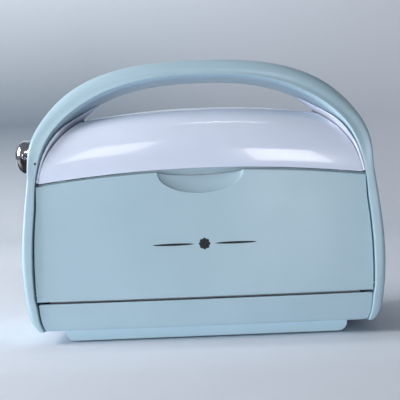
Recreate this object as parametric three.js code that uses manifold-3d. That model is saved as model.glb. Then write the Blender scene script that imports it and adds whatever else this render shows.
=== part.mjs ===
// A portable, hand-cranked die cutting and embossing machine, closed for carrying.
// Millimetres, +Z up, -Y the front. The origin is on the table, under the middle of the base.
import * as THREE from "three";
import { mergeVertices } from "three/addons/utils/BufferGeometryUtils.js";
import Module from "manifold-3d";

const wasm = await Module();
wasm.setup();

// ---------------------------------------------------------------- driving dimensions
const gap = 0.3; // kept between two pieces that touch
const wall = 2.5; // moulded shells

const plateX = 87; // middle of the machine to a side plate, which sets the feed width
const legStandOff = 20.8; // from the gear plate to the inside of a leg of the handle arch
const faceDepth = 78; // half-depth at the middle of the front, at panelBottom

// Base
const footHeight = 1.2; // plinth above the table
const footRadius = 7;
const footInset = 14; // from the plinth's edges
const plinthSetBack = 11; // behind the face
const plinthOverhang = 24.2; // from the inside of the legs
const plinthCorner = 8;
const bandBottom = 11.7;
const bandTop = 36.2;
const bandClearance = 1.9; // from the inside of the legs
const bandFloor = 3;
// Tuck towards the bottom, by share of the height
const bandCurve = [[5, 0], [2.5, 0.26], [1, 0.58], [0, 1]];

// Sampling of the curved outlines
const archSteps = 36;
const coverSteps = 14;
const panelTopSteps = 14;

// Front and rear faces bulge in plan and lean in with height
const faceBulge = 3;
const faceLean = THREE.MathUtils.degToRad(9.3);

// Folding platforms
const panelJoint = 2; // open joint between the band and a platform
const panelClearance = 1.5; // from a platform's side to a leg
const panelHeight = 102.5; // at the corners
const scoopBelowTop = 1.5;
const hingeBlockStart = 128; // solid corners of a tray round its hinge pins
const hingeBlockEnd = 150;
const hingeBlockAbove = 8;
const panelCrown = 9.6; // the top edge is this much higher in the middle
const sideBow = 2; // the sides of a platform and the legs beside it bulge outwards
const hingeSetBack = 6.5; // behind the face
const hingeRise = 6; // above the platform's bottom edge
const platformInner = 9.8; // working face behind the hinge axis
const scoopHalfWidth = 39;
const scoopHeight = 19;
const scoopDepth = 6;
const hingePinRadius = 1.5;
const hingePinLength = 19;

// Handle arch
const legBottom = 10.5;
// Leg thickness by height
const legThickness = [[10.2, 118], [12.2, 84], [11, 52], [7.9, 31], [5, 18.5], [-1.4, legBottom]];
const shoulderThickness = 7;
const handleThickness = 20; // at the middle of the grip
const handleGap = 24.6; // from the cover's ridge to the grip
const outerSquareness = 2.6;
const innerSquareness = 2.45;
const innerStraight = 20.7; // the legs are straight inside up to this far below the platform's corners
const outerStraight = 9.3; // and outside up to this far above them
const legRecess = 1; // behind the face at its middle
const gripDepth = 26;
const linerThickness = 1.7;
const linerEnd = 96; // liners stop this far from the middle
const linerInset = 3; // behind the arch's front and rear edges

// Top cover
const coverSeam = 2; // open joint above the platform's top edge
const coverAbovePinion = 26.325; // from the top of the crank pinion to the ridge in the middle
const coverDrop = 11.5; // fall of the ridge at coverDropX
const coverDropX = 126;
const coverSquareness = 2.2;

// Rollers and feed
const rollerRadius = 16;
const rollerClearance = 3; // from a roller's end to a side plate
const rollerShaftRadius = 6;
const rollerAboveFeed = 0.5;
const guideThickness = 3;
const fasciaSetBack = 19; // behind the face
const mouthClearance = 1; // from the mouth's side to a side plate
const mouthRise = 24; // above the feed height

// Frame plates
const plateThickness = 3;
const plateSetBack = 40; // behind the face
const plateMargin = 10; // above the topmost hole's centre, more than its radius
const tieRodRadius = 4;
const lowerRodY = 30;
const lowerRodRise = 11; // above the tray's floor
const topRodY = 20;
const bushWall = 3;
const bushLength = 7;
const bushRecess = 1; // the outer crank bush, below the leg's faces

// Gear train
const gearModule = 1.25;
const rollerTeeth = 40;
const idlerWheelTeeth = 48;
const idlerPinionTeeth = 20;
const crankTeeth = 22;
const backlash = 0.45;
const gearWidth = 10;
const gearStep = 3; // between the two planes of gears
const gearPlateGap = 3;
const gearStandOff = 11; // from the side plate to the nearer gears
const idlerShaftRadius = 4;

// Crank
const crankShaftRadius = 5;
const hubRadius = 16.2;
const hubStandOff = 2; // from the leg
const hubLength = 20;
const hubDome = 9.5; // length of its rounded end
const setScrewFromInner = 7.7;
const setScrewRadius = 2.5;
const setScrewSunk = 2.2; // below the hub's surface
const setScrewKey = 1.3;
const setScrewKeyDepth = 2.2;
const armStandOff = 2.2; // from the widest point of the leg
const armThickness = 4.4;
const armHeight = 18;
const armReach = 106; // crank axis to knob pivot
const knobStandOff = 11; // arm's outer face to the knob's axis
const knobRadius = 9;
const knobLength = 46;
const knobStart = 9; // pivot to the knob's inner end
const spindleRadius = 3;
const knobPinRadius = 2;
const eyeHalfHeight = 4.2;
const clevisRadius = 7.5;

// Suction cup
const cupRadius = 44;
const cupHeight = 3.4;
const cupClearance = 0.3;
const cupTravel = 3;
const stemRadius = 5;
const stemClearance = 1.1; // from the lower roller when lifted

// Fasteners
const screwInset = 38; // from the plinth's sides
const screwSetBack = 21; // from the plinth's front and rear
const screwHeadRadius = 4;
const screwRadius = 2;

// ---------------------------------------------------------------- derived places
const tanLean = Math.tan(faceLean);
const gearPlateX = plateX + plateThickness + gearStandOff + 2 * gearWidth + gearStep + gearPlateGap;
const innerHalfWidth = gearPlateX + plateThickness + legStandOff;
const plinthHalfWidth = innerHalfWidth - plinthOverhang;
const plinthHalfDepth = faceDepth - plinthSetBack;
const bandHalfWidth = innerHalfWidth - bandClearance;
const floorTop = bandBottom + bandFloor;
const panelBottom = bandTop + panelJoint;
const panelHalfWidth = innerHalfWidth - panelClearance;
const panelCornerTop = panelBottom + panelHeight;
const hingeY = faceDepth - hingeSetBack;
const hingeZ = panelBottom + hingeRise;
const feedHeight = hingeZ + platformInner; // an open platform lies level with the feed guides
const rollerLowerZ = feedHeight + rollerAboveFeed - rollerRadius;
const rollerUpperZ = rollerLowerZ + gearModule * rollerTeeth; // the two roller gears mesh
const pitch = (teeth) => (gearModule * teeth) / 2;
const tipRadius = (teeth) => pitch(teeth) + 0.86 * gearModule;
const idlerZ = rollerUpperZ + pitch(rollerTeeth) + pitch(idlerPinionTeeth);
const crankZ = idlerZ + pitch(idlerWheelTeeth) + pitch(crankTeeth);
const coverRidge = crankZ + tipRadius(crankTeeth) + coverAbovePinion;
const handleUnder = coverRidge + handleGap;
const innerTop = { a: innerHalfWidth, z: panelCornerTop - innerStraight, n: innerSquareness };
innerTop.b = handleUnder - innerTop.z;
const outerHalfWidth = innerHalfWidth + shoulderThickness;
const outerTop = { a: outerHalfWidth, z: panelCornerTop + outerStraight, n: outerSquareness };
outerTop.b = handleUnder + handleThickness - outerTop.z;
const legOuter = legThickness.map(([thickness, z]) => [innerHalfWidth + thickness, z]);
const legDepth = faceDepth - legRecess;
const gripStart = outerTop.z + outerTop.b - 12.5; // where the handle reaches its narrowest depth
const fasciaFace = faceDepth - fasciaSetBack;
const mouthHalfWidth = plateX - mouthClearance;
const mouthTop = feedHeight + mouthRise;
const plateHalfDepth = faceDepth - plateSetBack;
const planeA = -(gearPlateX - gearPlateGap); // outer face of the first plane of gears
const planeB = planeA + gearWidth + gearStep;
const leftPlateX = -plateX;
const plinthBottomCorners = [plinthHalfWidth - footInset, plinthHalfDepth - footInset + 1];
const screwCorners = [plinthHalfWidth - screwInset, plinthHalfDepth - screwSetBack];
const topRodZ = rollerUpperZ + rollerRadius + tieRodRadius + 7.5;
const tieRods = { front: [-lowerRodY, floorTop + lowerRodRise], rear: [lowerRodY, floorTop + lowerRodRise],
  top: [topRodY, topRodZ] };
const stemTop = rollerLowerZ - rollerRadius - cupTravel - stemClearance;

function bow(z) {
  const share = (z - panelBottom) / (innerTop.z - panelBottom);
  return share > 0 && share < 1 ? 4 * sideBow * share * (1 - share) : 0;
}

const faceY = (x, z) => faceDepth - faceBulge * (x / panelHalfWidth) ** 2 - (z - panelBottom) * tanLean;
const panelTop = (x) => panelCornerTop + panelCrown * (1 - (x / panelHalfWidth) ** 2);
const coverBottom = (x) => panelTop(x) + coverSeam;
const ridge = (x) => coverRidge - coverDrop * (Math.abs(x) / coverDropX) ** 2.2;

// ---------------------------------------------------------------- solids and geometry
function solid(geometry) {
  const bare = geometry.index ? geometry.toNonIndexed() : geometry.clone();
  bare.deleteAttribute("normal");
  bare.deleteAttribute("uv");
  const merged = mergeVertices(bare, 1e-4);
  const vertProperties = merged.attributes.position.array;
  const make = (triVerts) => new wasm.Manifold(new wasm.Mesh({ numProp: 3, vertProperties, triVerts }));
  const made = make(new Uint32Array(merged.index.array));
  return made.volume() > 0 ? made : make(new Uint32Array(merged.index.array).reverse());
}

function geometryOf(body) {
  const mesh = body.getMesh();
  const positions = new Float32Array(mesh.numVert * 3);
  for (let i = 0; i < mesh.numVert; i++)
    positions.set(mesh.vertProperties.subarray(i * mesh.numProp, i * mesh.numProp + 3), 3 * i);
  const geometry = new THREE.BufferGeometry();
  geometry.setAttribute("position", new THREE.BufferAttribute(positions, 3));
  geometry.setIndex(new THREE.BufferAttribute(new Uint32Array(mesh.triVerts), 1));
  geometry.computeVertexNormals();
  return geometry;
}

function extrusion(points, depth) {
  const shape = new THREE.Shape(points.map(([u, v]) => new THREE.Vector2(u, v)));
  return new THREE.ExtrudeGeometry(shape, { depth, bevelEnabled: false, curveSegments: 1 });
}

// An outline in X and Z, from y0 to y1
function alongY(points, y0, y1) {
  return solid(extrusion(points, y1 - y0).rotateX(Math.PI / 2).translate(0, y1, 0));
}

// An outline in Y and Z, from x0 to x1
function alongX(points, x0, x1) {
  const turn = new THREE.Matrix4().makeBasis(
    new THREE.Vector3(0, 1, 0),
    new THREE.Vector3(0, 0, 1),
    new THREE.Vector3(1, 0, 0),
  );
  return solid(extrusion(points, x1 - x0).applyMatrix4(turn).translate(x0, 0, 0));
}

// An outline in X and Y, from z0 to z1
function alongZ(points, z0, z1) {
  return solid(extrusion(points, z1 - z0).translate(0, 0, z0));
}

function box(x0, x1, y0, y1, z0, z1) {
  const geometry = new THREE.BoxGeometry(x1 - x0, y1 - y0, z1 - z0);
  return solid(geometry.translate((x0 + x1) / 2, (y0 + y1) / 2, (z0 + z1) / 2));
}

function rodX(radius, x0, x1, y, z, sides = 20) {
  const geometry = new THREE.CylinderGeometry(radius, radius, x1 - x0, sides).rotateZ(Math.PI / 2);
  return solid(geometry.translate((x0 + x1) / 2, y, z));
}

function rodY(radius, y0, y1, x, z, sides = 12) {
  const geometry = new THREE.CylinderGeometry(radius, radius, y1 - y0, sides);
  return solid(geometry.translate(x, (y0 + y1) / 2, z));
}

function rodZ(radius, z0, z1, x, y, sides = 16) {
  const geometry = new THREE.CylinderGeometry(radius, radius, z1 - z0, sides).rotateX(Math.PI / 2);
  return solid(geometry.translate(x, y, (z0 + z1) / 2));
}

// A turned piece about the X axis from [x, radius] pairs that start and end on the axis
function turnedX(profile, y, z, sides = 28) {
  const points = profile.map(([x, r]) => new THREE.Vector2(r, x));
  return solid(new THREE.LatheGeometry(points, sides).rotateZ(-Math.PI / 2).translate(0, y, z));
}

function turnedY(profile, x, z, sides = 18) {
  const points = profile.map(([y, r]) => new THREE.Vector2(r, y));
  return solid(new THREE.LatheGeometry(points, sides).translate(x, 0, z));
}

// A closed skin over convex rings that all have the same number of points
function loft(rings) {
  const count = rings[0].length;
  const positions = rings.flat(2);
  const index = [];
  for (let r = 0; r + 1 < rings.length; r++)
    for (let i = 0; i < count; i++) {
      const a = r * count + i;
      const b = r * count + ((i + 1) % count);
      index.push(a, b, b + count, a, b + count, a + count);
    }
  const last = (rings.length - 1) * count;
  for (let i = 1; i + 1 < count; i++) index.push(0, i + 1, i, last, last + i, last + i + 1);
  const geometry = new THREE.BufferGeometry();
  geometry.setAttribute("position", new THREE.Float32BufferAttribute(positions, 3));
  geometry.setIndex(index);
  return solid(geometry);
}

const mirrorY = (points) => points.map(([u, v]) => [-u, v]).reverse();
const samples = (steps, at) => Array.from({ length: steps + 1 }, (_, i) => at(i / steps));

// ---------------------------------------------------------------- shared outlines
// Half of a superellipse over the machine, grown by offset, from the +X side over the top to the -X side
function archCurve({ a, b, n, z }, offset, steps) {
  return samples(steps, (t) => {
    const angle = Math.PI * t;
    const x = (a + offset) * Math.sign(Math.cos(angle)) * Math.abs(Math.cos(angle)) ** (2 / n);
    return [x, z + (b + offset) * Math.sin(angle) ** (2 / n)];
  });
}

function archHalfWidth({ a, b, n, z }, height) {
  return height <= z ? a : a * (1 - ((height - z) / b) ** n) ** (1 / n);
}

// Half-depth of the handle and its legs at a height
function depthProfile(inset) {
  const shoulder = new THREE.Vector2(legDepth - (outerTop.z - 40) * tanLean, outerTop.z);
  const curve = new THREE.CubicBezierCurve(
    shoulder,
    new THREE.Vector2(shoulder.x - 28 * tanLean, outerTop.z + 28),
    new THREE.Vector2(gripDepth + 3, gripStart - 30),
    new THREE.Vector2(gripDepth, gripStart),
  );
  const straight = [[legDepth - 5, 0], [legDepth, 22], [legDepth, 40]];
  const right = [...straight, ...curve.getPoints(8).map((p) => [p.x, p.y])];
  const side = [...right, [gripDepth, outerTop.z + outerTop.b + 2]].map(([y, z]) => [y - inset, z]);
  return [...side, ...mirrorY(side)];
}

function coverEnd(inset) {
  const curve = archCurve(innerTop, -inset, archSteps);
  return [[curve[0][0], bandBottom], ...curve, [curve[archSteps][0], bandBottom]];
}

// The leaning, bulging face from the front edge inwards by depth, over the platform's height
function facePlan(halfWidth, front, back, steps = 12) {
  const x = (t) => halfWidth * (2 * t - 1);
  const bulge = (t) => faceBulge * (x(t) / panelHalfWidth) ** 2;
  const outer = samples(steps, (t) => [x(t), -faceDepth + bulge(t) + front]);
  const inner = samples(steps, (t) => [x(t), -faceDepth + bulge(t) + back]).reverse();
  return [...outer, ...inner];
}

function lean(body) {
  const geometry = geometryOf(body);
  const back = -panelBottom * tanLean;
  const shear = new THREE.Matrix4().set(1, 0, 0, 0, 0, 1, tanLean, back, 0, 0, 1, 0, 0, 0, 0, 1);
  return solid(geometry.applyMatrix4(shear));
}

function gear(teeth, x0, toothUp, z, boreRadius) {
  const pitchRadius = pitch(teeth);
  const tip = tipRadius(teeth);
  const root = pitchRadius - 1.1 * gearModule;
  const half = Math.PI / (2 * teeth) - backlash / (2 * pitchRadius);
  const slope = Math.tan(THREE.MathUtils.degToRad(20));
  const halfAt = (radius) => half - ((radius - pitchRadius) * slope) / pitchRadius;
  const outline = [];
  for (let i = 0; i < teeth; i++) {
    const middle = Math.PI / 2 + (2 * Math.PI * (i + (toothUp ? 0 : 0.5))) / teeth;
    for (const [radius, side] of [[root, -1], [tip, -1], [tip, 1], [root, 1]]) {
      const angle = middle + side * halfAt(radius);
      outline.push([radius * Math.cos(angle), z + radius * Math.sin(angle)]);
    }
  }
  const body = alongX(outline, x0, x0 + gearWidth);
  return body.subtract(rodX(boreRadius, x0 - 1, x0 + gearWidth + 1, 0, z));
}

// ---------------------------------------------------------------- materials and nodes
const material = (color, roughness, metalness = 0) =>
  new THREE.MeshStandardMaterial({ color, roughness, metalness });
const materials = {
  mint: () => material(0xa9ccd0, 0.38),
  white: () => material(0xe9edf2, 0.14),
  inner: () => material(0xdfe4e8, 0.4),
  steel: () => material(0x9aa0a6, 0.35, 1),
  chrome: () => material(0xd8dcde, 0.08, 1),
  brass: () => material(0xb08d4f, 0.35, 1),
  gear: () => material(0x6f767c, 0.4, 1),
  rubber: () => material(0x26282a, 0.8),
  dark: () => material(0x34383c, 0.45),
};
const machine = new THREE.Group();

function add(name, body, kind) {
  const mesh = new THREE.Mesh(geometryOf(body), materials[kind]());
  mesh.name = name;
  machine.add(mesh);
}

// ---------------------------------------------------------------- base
const gearRoom = rodX(tipRadius(rollerTeeth) + 0.8, planeB - 1, planeB + gearWidth + 1, 0, rollerLowerZ);

// The band's right-hand edge, grown by offset
function bandSide(offset) {
  const height = bandTop - bandBottom;
  return bandCurve.map(([tuck, share]) => [bandHalfWidth - tuck + offset, bandBottom + share * height]);
}

function bandOutline(inset) {
  const side = bandSide(0).map(([x, z]) => [x - inset, z]);
  return [...side, ...mirrorY(side)];
}

function baseTray() {
  const plan = (inset) => {
    const front = facePlan(bandHalfWidth + 5, inset, faceDepth, 12).slice(0, 13);
    return [...front, ...front.map(([x, y]) => [x, -y]).reverse()];
  };
  const outer = alongY(bandOutline(0), -faceDepth, faceDepth);
  const shell = outer.intersect(alongZ(plan(0), bandBottom, bandTop));
  const insideTop = bandTop + 1;
  const side = bandOutline(wall).map(([x, z]) => [x, z === bandTop ? insideTop : z + bandFloor]);
  const inside = alongY(side, -faceDepth, faceDepth).intersect(alongZ(plan(wall), floorTop, insideTop));
  const stemHole = rodZ(stemRadius + gap, bandBottom - 1, floorTop + 1, 0, 0);
  let body = shell.subtract(inside).subtract(gearRoom).subtract(stemHole);
  for (const [x, y] of screwPlaces)
    body = body.subtract(rodZ(screwRadius + gap, bandBottom - 1, floorTop + 1, x, y, 12));
  return body;
}

const corners = (x, y) => [[-x, -y], [x, -y], [-x, y], [x, y]];
const screwPlaces = corners(...screwCorners);
const footPlaces = corners(...plinthBottomCorners);
const cornerNames = ["front_left", "front_right", "rear_left", "rear_right"];

function basePlinth() {
  const arc = samples(5, (t) => [
    plinthHalfWidth - plinthCorner + plinthCorner * Math.sin((t * Math.PI) / 2),
    footHeight + plinthCorner - plinthCorner * Math.cos((t * Math.PI) / 2),
  ]);
  const side = [...arc, [plinthHalfWidth, bandBottom - gap]];
  let body = alongY([...side, ...mirrorY(side)], -plinthHalfDepth, plinthHalfDepth).subtract(gearRoom);
  const recessTop = cupClearance + cupHeight + cupTravel + 1;
  body = body.subtract(rodZ(cupRadius + 3, 0, recessTop, 0, 0, 32));
  body = body.subtract(rodZ(stemRadius + gap, 0, bandBottom + 1, 0, 0));
  for (const [x, y] of footPlaces)
    body = body.subtract(rodZ(footRadius + gap, 0, footHeight + 2.6, x, y));
  for (const [x, y] of screwPlaces) {
    body = body.subtract(rodZ(screwHeadRadius + gap, 0, footHeight + 4, x, y, 12));
    body = body.subtract(rodZ(screwRadius + gap, 0, bandBottom + 1, x, y, 12));
  }
  return body;
}

add("base_tray", baseTray(), "mint");
add("base_plinth", basePlinth(), "mint");
footPlaces.forEach(([x, y], i) =>
  add("foot_" + cornerNames[i], rodZ(footRadius, 0, footHeight + 2.3, x, y), "rubber"));
screwPlaces.forEach(([x, y], i) => {
  const head = rodZ(screwHeadRadius, footHeight + 1.4, footHeight + 3.7, x, y, 12);
  const shank = rodZ(screwRadius, footHeight + 3, floorTop + 3, x, y, 12);
  const slot = box(x - 2.6, x + 2.6, y - 0.5, y + 0.5, footHeight + 1, footHeight + 2.4);
  add("base_screw_" + cornerNames[i], head.add(shank).subtract(slot), "steel");
});

// ---------------------------------------------------------------- suction cup
const cupTop = cupClearance + cupHeight;
add("suction_cup", rodZ(cupRadius, cupClearance, cupTop, 0, 0, 32), "rubber");
add("suction_stem", rodZ(stemRadius, cupTop + gap, stemTop, 0, 0), "steel");

// ---------------------------------------------------------------- handle arch and liners
const crankBushRadius = crankShaftRadius + gap + bushWall;
const gearPlateOuter = gearPlateX + plateThickness;
const crankBushRoom = rodX(crankBushRadius + gap, -2 * innerHalfWidth, -gearPlateOuter, 0, crankZ);
const legInner = [[bandHalfWidth - bandCurve[0][0] + 0.4, legBottom], ...bandSide(0.4).slice(1),
  [bandHalfWidth + 0.5, panelBottom - 1.4], [innerTop.a, panelBottom - 1], ...bowedSide(innerTop.a)];

// The bowed edge of a platform or of a leg beside it, from the bottom up
function bowedSide(x) {
  return samples(8, (t) => {
    const z = panelBottom + t * (innerTop.z - panelBottom);
    return [x + bow(z), z];
  }).slice(1, 8);
}

function hingeHoles(radius) {
  const reach = innerTop.a + 8;
  return [-hingeY, hingeY].map((y) => rodX(radius, -reach, reach, y, hingeZ, 12));
}

function handleArch() {
  const outer = archCurve(outerTop, 0, archSteps);
  const inner = archCurve(innerTop, 0, archSteps);
  const outline = [...outer, ...mirrorPoints(legOuter), ...mirrorPoints(legInner), ...inner.reverse(),
    ...[...legInner].reverse(), ...[...legOuter].reverse()];
  let body = alongY(outline, -legDepth, legDepth).intersect(alongX(depthProfile(0), -200, 200));
  for (const hole of hingeHoles(hingePinRadius + gap)) body = body.subtract(hole);
  return body.subtract(crankBushRoom);
}

function mirrorPoints(points) {
  return points.map(([x, z]) => [-x, z]);
}

function liner(side) {
  const outer = archCurve(innerTop, -gap, archSteps);
  const inner = archCurve(innerTop, -gap - linerThickness, archSteps).reverse();
  const band = alongY([...outer, ...inner], -legDepth, legDepth);
  const [x0, x1] = side < 0 ? [-200, -linerEnd] : [linerEnd, 200];
  const reach = box(x0, x1, -100, 100, coverBottom(panelHalfWidth), 300);
  const body = band.intersect(reach).intersect(alongX(depthProfile(linerInset), -200, 200));
  return side < 0 ? body.subtract(crankBushRoom) : body;
}

add("handle_arch", handleArch(), "mint");
add("handle_liner_left", liner(-1), "white");
add("handle_liner_right", liner(1), "white");

// ---------------------------------------------------------------- top cover
function coverLoft(inset, drop) {
  const reach = panelHalfWidth + 1;
  const rings = samples(coverSteps, (s) => {
    const x = reach * (2 * s - 1);
    const bottom = coverBottom(x);
    const depth = faceY(x, bottom) - inset;
    const height = ridge(x) - inset - bottom;
    const over = samples(coverSteps, (t) => {
      const angle = Math.PI * t;
      const y = -Math.sign(Math.cos(angle)) * depth * Math.abs(Math.cos(angle)) ** (2 / coverSquareness);
      return [x, y, bottom + height * Math.sin(angle) ** (2 / coverSquareness)];
    });
    return drop ? [...over, [x, depth, bottom - drop], [x, -depth, bottom - drop]] : over;
  });
  return loft(rings);
}

const coverEndInset = 2 * gap + linerThickness;
const crankPinionRoom = rodX(tipRadius(crankTeeth) + gap, -gearPlateOuter - gap, planeB, 0, crankZ);

function topCover() {
  const outer = coverLoft(0, 0).intersect(alongY(coverEnd(coverEndInset), -faceDepth, faceDepth));
  const inner = coverLoft(wall, 6).intersect(alongY(coverEnd(coverEndInset + wall), -faceDepth, faceDepth));
  return outer.subtract(inner).subtract(crankBushRoom).subtract(crankPinionRoom);
}

add("top_cover", topCover(), "white");

// ---------------------------------------------------------------- folding platforms
// Built for the front; the rear one is the same turned half round.
const fullFront = [-panelHalfWidth - 5, panelHalfWidth + 5];

function panelOutline(inset) {
  const half = panelHalfWidth - inset;
  const topHalf = archHalfWidth(innerTop, panelCornerTop) - panelClearance - inset;
  const top = samples(panelTopSteps, (t) => {
    const x = topHalf * (1 - 2 * t);
    return [x, panelTop(x) - inset];
  });
  const side = [...bowedSide(half), [half, innerTop.z]];
  return [[-half, panelBottom + inset], [half, panelBottom + inset], ...side, ...top,
    ...mirrorPoints(side).reverse()];
}

function scoop(grow) {
  const ball = new THREE.SphereGeometry(1, 20, 12);
  ball.scale(scoopHalfWidth + grow, scoopDepth + grow, scoopHeight + grow);
  const z = panelTop(0) - scoopBelowTop;
  return solid(ball.rotateX(-faceLean).translate(0, -faceY(0, z), z));
}

function platformPanel() {
  const [x0, x1] = fullFront;
  const skin = lean(alongZ(facePlan(x1, 0, wall), panelBottom - 2, 160));
  const behind = lean(alongZ(facePlan(x1, wall - 0.5, 2 * platformInner), panelBottom - 2, 160));
  const backing = scoop(wall).intersect(behind);
  const outline = alongY(panelOutline(0), -100, 0);
  const body = skin.add(backing).subtract(scoop(0)).intersect(outline);
  return hingeHoles(hingePinRadius + gap).reduce((left, hole) => left.subtract(hole), body.subtract(
    box(x0, x1, 0, 100, 0, 200)));
}

function platformTray() {
  const cosLean = Math.cos(faceLean);
  const innerFront = faceDepth - hingeY - (hingeZ - panelBottom) * tanLean + platformInner / cosLean;
  const block = lean(flatBack(wall + gap, innerFront));
  const rimInset = 3;
  const hollow = lean(flatBack(wall - 1, innerFront - wall));
  const blockEnds = [[-hingeBlockEnd, -hingeBlockStart], [hingeBlockStart, hingeBlockEnd]];
  const cornerBlocks = blockEnds.map(([x0, x1]) =>
    box(x0, x1, -faceDepth, 0, bandBottom, hingeZ + hingeBlockAbove));
  let inside = hollow.intersect(alongY(panelOutline(rimInset + wall), -100, 0));
  for (const block of cornerBlocks) inside = inside.subtract(block);
  let body = block.intersect(alongY(panelOutline(rimInset), -100, 0)).subtract(inside);
  body = body.subtract(scoop(wall + 2 * gap));
  for (const hole of hingeHoles(hingePinRadius + gap)) body = body.subtract(hole);
  return body;
}

// The bulging face in front and one flat plane behind, front and back measured from the middle of the face
function flatBack(front, back) {
  const outer = facePlan(panelHalfWidth, front, 0).slice(0, 13);
  const rear = [[panelHalfWidth, -faceDepth + back], [-panelHalfWidth, -faceDepth + back]];
  return alongZ([...outer, ...rear], panelBottom - 2, 160);
}

const halfTurn = (body) => solid(geometryOf(body).rotateZ(Math.PI));
add("front_platform_panel", platformPanel(), "mint");
add("front_platform_tray", platformTray(), "inner");
add("rear_platform_panel", halfTurn(platformPanel()), "mint");
add("rear_platform_tray", halfTurn(platformTray()), "inner");
for (const [face, y] of [["front", -hingeY], ["rear", hingeY]]) {
  const x1 = innerTop.a + 7;
  add("hinge_pin_" + face + "_left", rodX(hingePinRadius, -x1, hingePinLength - x1, y, hingeZ, 12), "steel");
  add("hinge_pin_" + face + "_right", rodX(hingePinRadius, x1 - hingePinLength, x1, y, hingeZ, 12), "steel");
}

// ---------------------------------------------------------------- fascias and feed guides
function fascia() {
  const half = innerTop.a - 2 * gap;
  const start = faceDepth - fasciaFace;
  const plan = [[-half, -faceDepth + start], [half, -faceDepth + start], [half, -faceDepth + start + wall],
    [-half, -faceDepth + start + wall]];
  const sheet = lean(alongZ(plan, bandBottom, 160));
  const floor = floorTop + gap;
  const foot = bandHalfWidth - 8;
  const topHalf = archHalfWidth(innerTop, panelCornerTop) - 2 * gap;
  const right = [[foot, floor], [foot, panelBottom], [half, panelBottom], [half, innerTop.z],
    [topHalf, panelCornerTop]];
  const outline = [...right, ...mirrorPoints(right).reverse()];
  const mouth = box(-mouthHalfWidth, mouthHalfWidth, -100, 0, feedHeight - guideThickness - gap, mouthTop);
  return sheet.intersect(alongY(outline, -100, 0)).subtract(mouth);
}

function feedGuide() {
  const half = mouthHalfWidth - 2 * gap;
  const clear = rollerRadius - 2;
  return box(-half, half, -fasciaFace, -clear, feedHeight - guideThickness, feedHeight);
}

add("front_fascia", fascia(), "inner");
add("rear_fascia", halfTurn(fascia()), "inner");
add("front_feed_guide", feedGuide(), "inner");
add("rear_feed_guide", halfTurn(feedGuide()), "inner");

// ---------------------------------------------------------------- frame plates, tie rods and bushes
const bushRadius = rollerShaftRadius + gap + bushWall;
const rollerHeights = { upper: rollerUpperZ, lower: rollerLowerZ };

function plate(x0, top, topHalfDepth) {
  const floor = floorTop + gap;
  const shoulder = topRodZ - 6;
  const right = [[plateHalfDepth, floor], [plateHalfDepth, shoulder]];
  const side = [...right, [topHalfDepth, Math.min(top - 4, shoulder + 36)], [topHalfDepth - 4, top]];
  return alongX([...side, ...mirrorY(side)], x0, x0 + plateThickness);
}

function drilled(body, holes) {
  return holes.reduce((left, [radius, y, z]) => left.subtract(rodX(radius, -200, 200, y, z)), body);
}

const rodHoles = Object.values(tieRods).map(([y, z]) => [tieRodRadius + gap, y, z]);
const rollerHoles = Object.values(rollerHeights).map((z) => [bushRadius + gap, 0, z]);
const rightPlate = plate(plateX, topRodZ + plateMargin, 30);
const leftPlate = plate(leftPlateX - plateThickness, crankZ + crankBushRadius + plateMargin - 2, 16);
const underCover = alongY(coverEnd(coverEndInset + wall + gap), -faceDepth, faceDepth);
const gearPlateTop = crankZ + crankShaftRadius + plateMargin - 4;
const gearPlate = plate(-gearPlateOuter, gearPlateTop, 14).intersect(underCover);
const idlerHole = [idlerShaftRadius + gap, 0, idlerZ];
add("right_side_plate", drilled(rightPlate, [...rodHoles, ...rollerHoles]), "steel");
add("left_side_plate", drilled(leftPlate, [...rodHoles, ...rollerHoles, idlerHole,
  [crankBushRadius + gap, 0, crankZ]]), "steel");
add("gear_plate", drilled(gearPlate, [idlerHole, [crankShaftRadius + 1, 0, crankZ]]), "steel");
for (const [name, [y, z]] of Object.entries(tieRods)) {
  const reach = plateX + plateThickness + 2;
  add("tie_rod_" + name, rodX(tieRodRadius, -reach, reach, y, z, 16), "steel");
}

function bush(x0, length, radius, bore, z) {
  return rodX(radius, x0, x0 + length, 0, z).subtract(rodX(bore, x0 - 1, x0 + length + 1, 0, z));
}

const bushInset = (bushLength - plateThickness) / 2;
for (const [name, z] of Object.entries(rollerHeights)) {
  const bore = rollerShaftRadius + gap;
  const left = leftPlateX - plateThickness - bushInset;
  add(name + "_bush_left", bush(left, bushLength, bushRadius, bore, z), "brass");
  add(name + "_bush_right", bush(plateX - bushInset, bushLength, bushRadius, bore, z), "brass");
}
add("crank_bush_inner", bush(leftPlateX - plateThickness - bushInset, bushLength, crankBushRadius,
  crankShaftRadius + gap, crankZ), "brass");
const crankBushStart = archHalfWidth(outerTop, crankZ) - bushRecess;
const crankBushLength = crankBushStart - archHalfWidth(innerTop, crankZ) - bushRecess;
const crankBore = crankShaftRadius + gap;
add("crank_bush_outer", bush(-crankBushStart, crankBushLength, crankBushRadius, crankBore, crankZ), "brass");

// ---------------------------------------------------------------- rollers and gears
for (const [name, z] of Object.entries(rollerHeights)) {
  const left = planeB - 2;
  const right = plateX + plateThickness + bushInset + 1;
  const half = plateX - rollerClearance;
  add(name + "_roller", turnedX([[left, 0], [left, rollerShaftRadius], [-half, rollerShaftRadius],
    [-half, rollerRadius], [half, rollerRadius], [half, rollerShaftRadius], [right, rollerShaftRadius],
    [right, 0]], 0, z), "steel");
  const geared = gear(rollerTeeth, planeB, name === "lower", z, rollerShaftRadius + gap);
  add(name + "_roller_gear", geared, "gear");
}

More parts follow.
